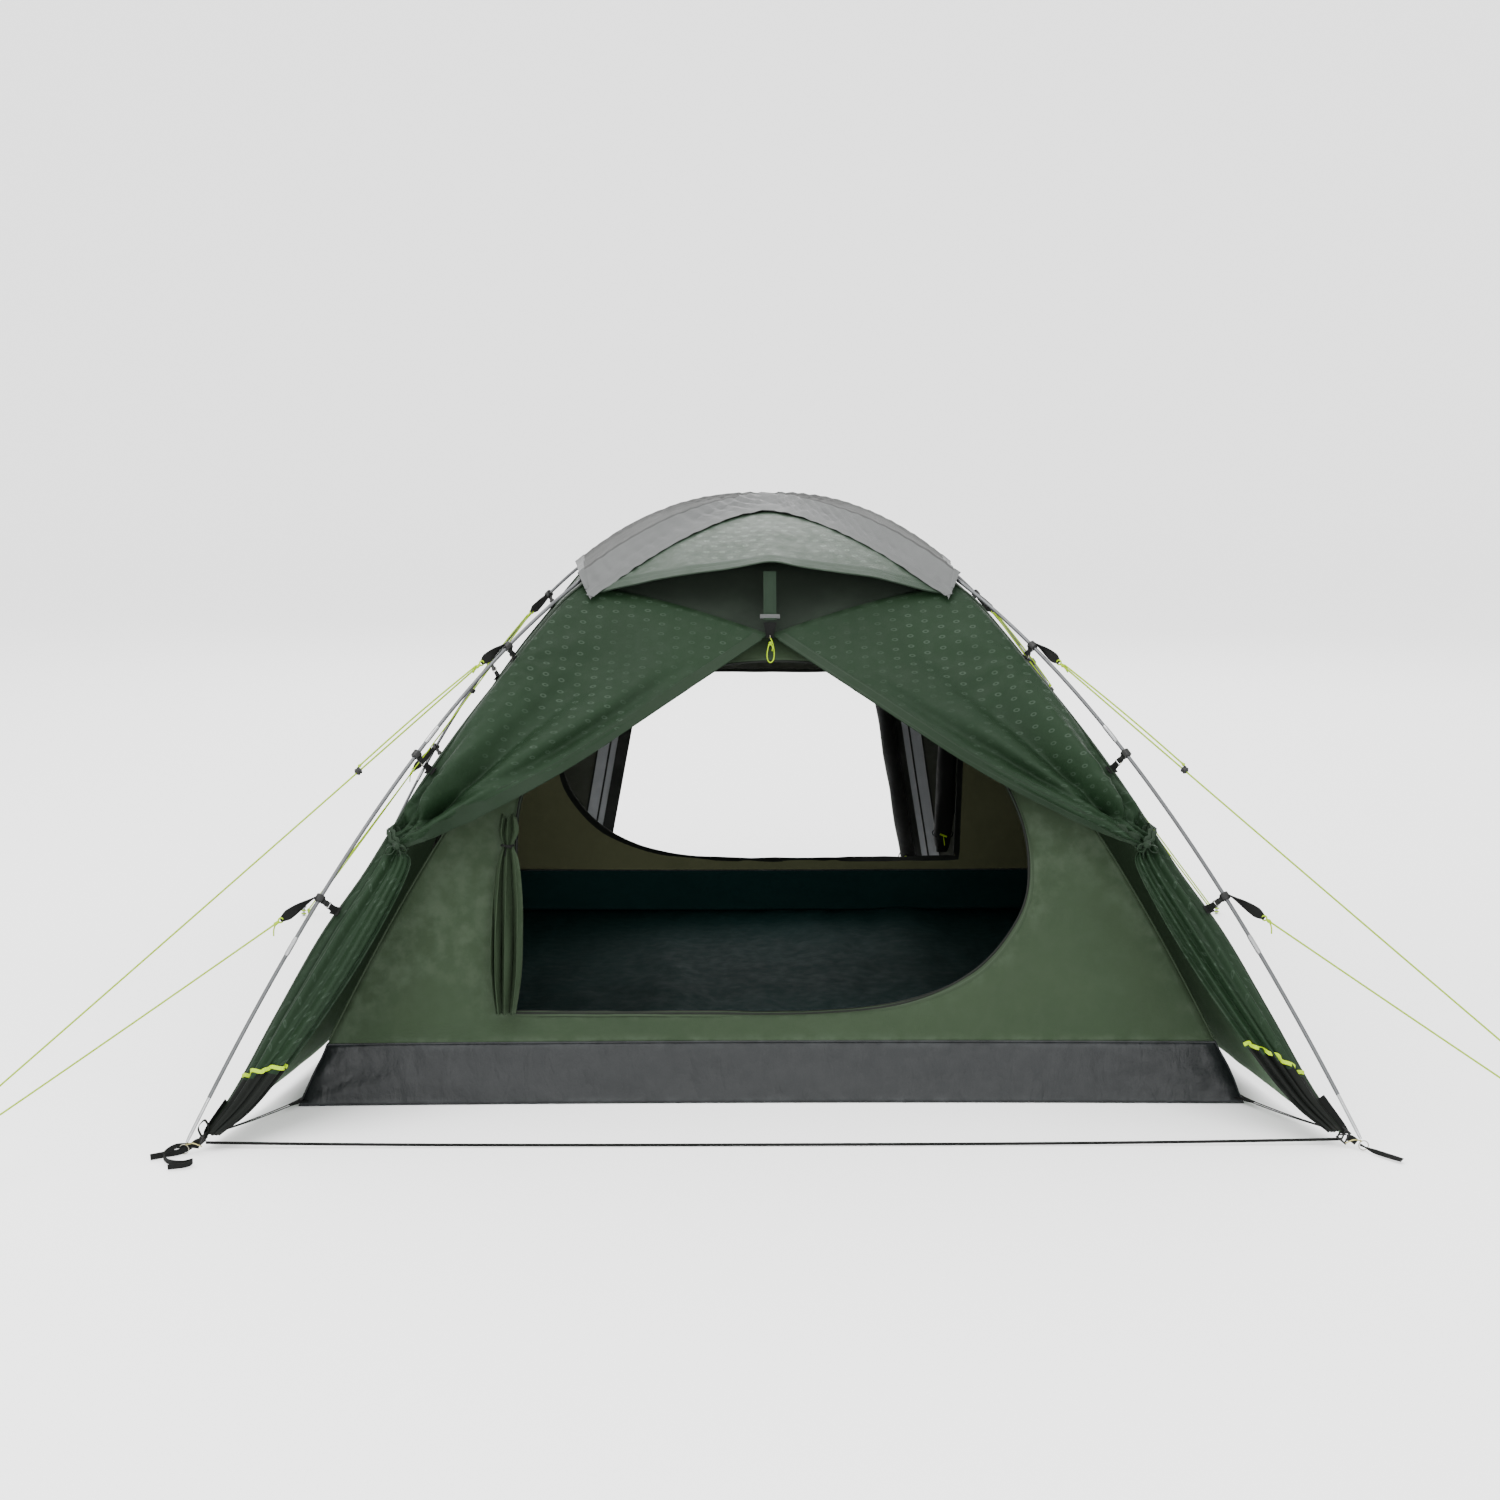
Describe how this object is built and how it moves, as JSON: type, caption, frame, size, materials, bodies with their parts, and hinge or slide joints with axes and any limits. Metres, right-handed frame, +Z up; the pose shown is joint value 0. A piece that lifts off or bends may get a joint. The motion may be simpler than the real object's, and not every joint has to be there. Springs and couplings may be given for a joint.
{
  "type": "dome tent",
  "caption": "Crossed-pole dome tent with outside poles, tied-back front doors, an open rear door, an inner tent with a tray groundsheet, and pegged guylines.",
  "frame": {"origin": "on the ground at the centre of the pole feet", "axes": "+Z up, -Y out of the front door, +X to the right of a person facing the front door"},
  "size_m": [3.577, 2.7591, 1.2965],
  "materials": {
    "pole": "satin",
    "steel": "satin",
    "plastic": "matte",
    "crown_cloth": "satin",
    "fly_cloth": "satin",
    "vent_mesh": "matte",
    "black_cloth": "matte",
    "inner_cloth": "matte",
    "tub_cloth": "satin",
    "neon_cord": "matte"
  },
  "bodies": {
    "tent": {"pole_leg_front_left": "pole", "pole_clip_front_left_1": "plastic", "pole_clip_front_left_2": "plastic", "pole_clip_front_left_3": "plastic", "guyline_upper_front_left": "neon_cord", "guyline_lower_front_left": "neon_cord", "pole_leg_front_right": "pole", "pole_clip_front_right_1": "plastic", "pole_clip_front_right_2": "plastic", "pole_clip_front_right_3": "plastic", "guyline_upper_front_right": "neon_cord", "guyline_lower_front_right": "neon_cord", "pole_leg_rear_left": "pole", "pole_clip_rear_left_1": "plastic", "pole_clip_rear_left_2": "plastic", "pole_clip_rear_left_3": "plastic", "guyline_upper_rear_left": "neon_cord", "guyline_lower_rear_left": "neon_cord", "pole_leg_rear_right": "pole", "pole_clip_rear_right_1": "plastic", "pole_clip_rear_right_2": "plastic", "pole_clip_rear_right_3": "plastic", "guyline_upper_rear_right": "neon_cord", "guyline_lower_rear_right": "neon_cord", "pole_arch_over": "pole", "pole_arch_under": "pole", "crown_roof": "crown_cloth", "hood_front": "fly_cloth", "hood_rear": "fly_cloth", "vent_mesh_front": "vent_mesh", "fly_side_left": "fly_cloth", "fly_side_right": "fly_cloth", "fly_front_door_left": "fly_cloth", "fly_front_door_right": "fly_cloth", "fly_rear_wall": "fly_cloth", "fly_rear_door_roll": "black_cloth", "groundsheet_tub": "tub_cloth", "inner_front_wall": "inner_cloth", "inner_rear_wall": "inner_cloth", "inner_side_left": "inner_cloth", "inner_side_right": "inner_cloth", "inner_front_door_tied": "inner_cloth", "inner_rear_door_roll": "black_cloth", "base_strap_front": "plastic"},
    "ring_pin_front_left": {"ring_pin_front_left": "steel"},
    "runner_front_left": {"runner_front_left": "plastic"},
    "peg_front_left": {"peg_front_left": "steel"},
    "ring_pin_front_right": {"ring_pin_front_right": "steel"},
    "runner_front_right": {"runner_front_right": "plastic"},
    "peg_front_right": {"peg_front_right": "steel"},
    "ring_pin_rear_left": {"ring_pin_rear_left": "steel"},
    "runner_rear_left": {"runner_rear_left": "plastic"},
    "peg_rear_left": {"peg_rear_left": "steel"},
    "ring_pin_rear_right": {"ring_pin_rear_right": "steel"},
    "runner_rear_right": {"runner_rear_right": "plastic"},
    "peg_rear_right": {"peg_rear_right": "steel"},
    "vent_strut_front": {"vent_strut_front": "fly_cloth"},
    "vent_strut_rear": {"vent_strut_rear": "fly_cloth"},
    "zip_pull": {"zip_pull_cord": "neon_cord"}
  },
  "joints": [
    {"name": "ring_swing_front_left", "type": "hinge", "parent": "tent", "child": "ring_pin_front_left", "pos_m": [-1.22447, -1.22906, 0.0218], "axis": [1, 0, 0], "range_deg": [-45, 45]},
    {"name": "runner_slide_front_left", "type": "slide", "parent": "tent", "child": "runner_front_left", "axis": [-0.6577, -0.5116, -0.5529], "range_m": [-0.3, 0.6]},
    {"name": "peg_pull_front_left", "type": "slide", "parent": "tent", "child": "peg_front_left", "axis": [0, 0, 1], "range_m": [0, 0.15]},
    {"name": "ring_swing_front_right", "type": "hinge", "parent": "tent", "child": "ring_pin_front_right", "pos_m": [1.22447, -1.22906, 0.0218], "axis": [1, 0, 0], "range_deg": [-45, 45]},
    {"name": "runner_slide_front_right", "type": "slide", "parent": "tent", "child": "runner_front_right", "axis": [0.6577, -0.5116, -0.5529], "range_m": [-0.3, 0.6]},
    {"name": "peg_pull_front_right", "type": "slide", "parent": "tent", "child": "peg_front_right", "axis": [0, 0, 1], "range_m": [0, 0.15]},
    {"name": "ring_swing_rear_left", "type": "hinge", "parent": "tent", "child": "ring_pin_rear_left", "pos_m": [-1.22447, 1.22906, 0.0218], "axis": [1, 0, 0], "range_deg": [-45, 45]},
    {"name": "runner_slide_rear_left", "type": "slide", "parent": "tent", "child": "runner_rear_left", "axis": [-0.5955, 0.1938, -0.7797], "range_m": [-0.2, 0.45]},
    {"name": "peg_pull_rear_left", "type": "slide", "parent": "tent", "child": "peg_rear_left", "axis": [0, 0, 1], "range_m": [0, 0.15]},
    {"name": "ring_swing_rear_right", "type": "hinge", "parent": "tent", "child": "ring_pin_rear_right", "pos_m": [1.22447, 1.22906, 0.0218], "axis": [1, 0, 0], "range_deg": [-45, 45]},
    {"name": "runner_slide_rear_right", "type": "slide", "parent": "tent", "child": "runner_rear_right", "axis": [0.5955, 0.1938, -0.7797], "range_m": [-0.2, 0.45]},
    {"name": "peg_pull_rear_right", "type": "slide", "parent": "tent", "child": "peg_rear_right", "axis": [0, 0, 1], "range_m": [0, 0.15]},
    {"name": "strut_fold_front", "type": "hinge", "parent": "tent", "child": "vent_strut_front", "pos_m": [0, -0.548, 1.04], "axis": [1, 0, 0], "range_deg": [0, 100]},
    {"name": "strut_fold_rear", "type": "hinge", "parent": "tent", "child": "vent_strut_rear", "pos_m": [0, 0.548, 1.05], "axis": [-1, 0, 0], "range_deg": [0, 100]},
    {"name": "zip_pull_swing", "type": "hinge", "parent": "tent", "child": "zip_pull", "pos_m": [0, -0.542, 0.999], "axis": [1, 0, 0], "range_deg": [-40, 10]}
  ]
}
